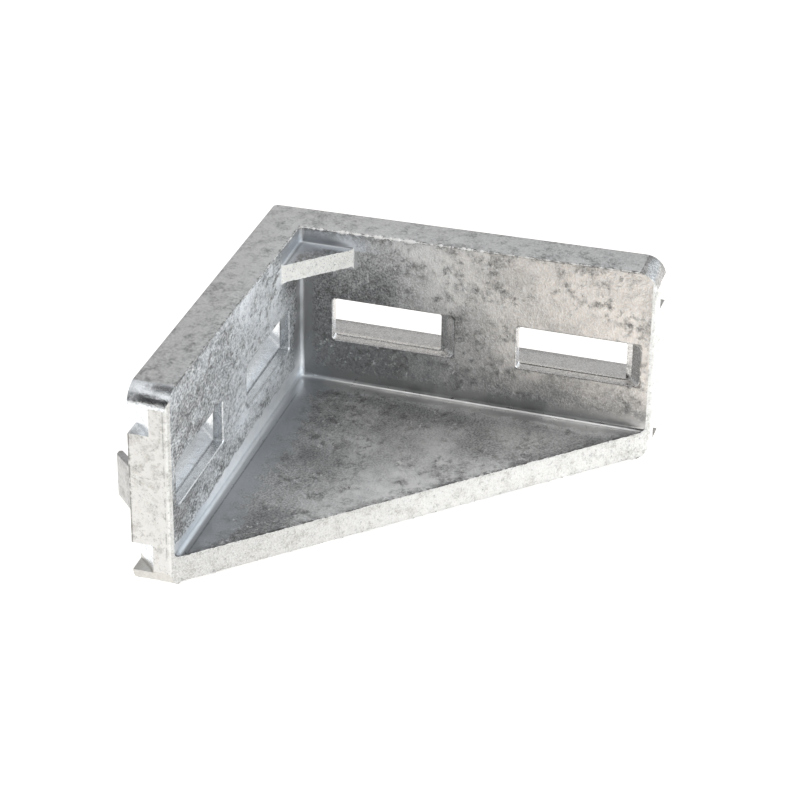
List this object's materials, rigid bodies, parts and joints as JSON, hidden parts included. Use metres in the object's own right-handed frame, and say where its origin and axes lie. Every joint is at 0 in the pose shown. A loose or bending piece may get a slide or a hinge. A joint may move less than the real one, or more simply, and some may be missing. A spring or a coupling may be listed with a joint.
{
  "type": "t slot corner bracket",
  "caption": "Die-cast right-angle bracket for T-slot profiles, with stepped bolt slots in both legs, a web across one side, a small inner gusset and centring noses.",
  "frame": {"origin": "outer corner of the L at the underside: where the two rail faces and the flat underside of the legs meet", "axes": "+X along one leg, +Y along the other leg, +Z from the underside up to the legs' top edges, so the web is at the bottom and the gusset near the top"},
  "size_m": [0.0902, 0.0902, 0.0448],
  "materials": {
    "cast_aluminium": "satin"
  },
  "bodies": {
    "root": {"corner_bracket": "cast_aluminium"}
  },
  "joints": []
}
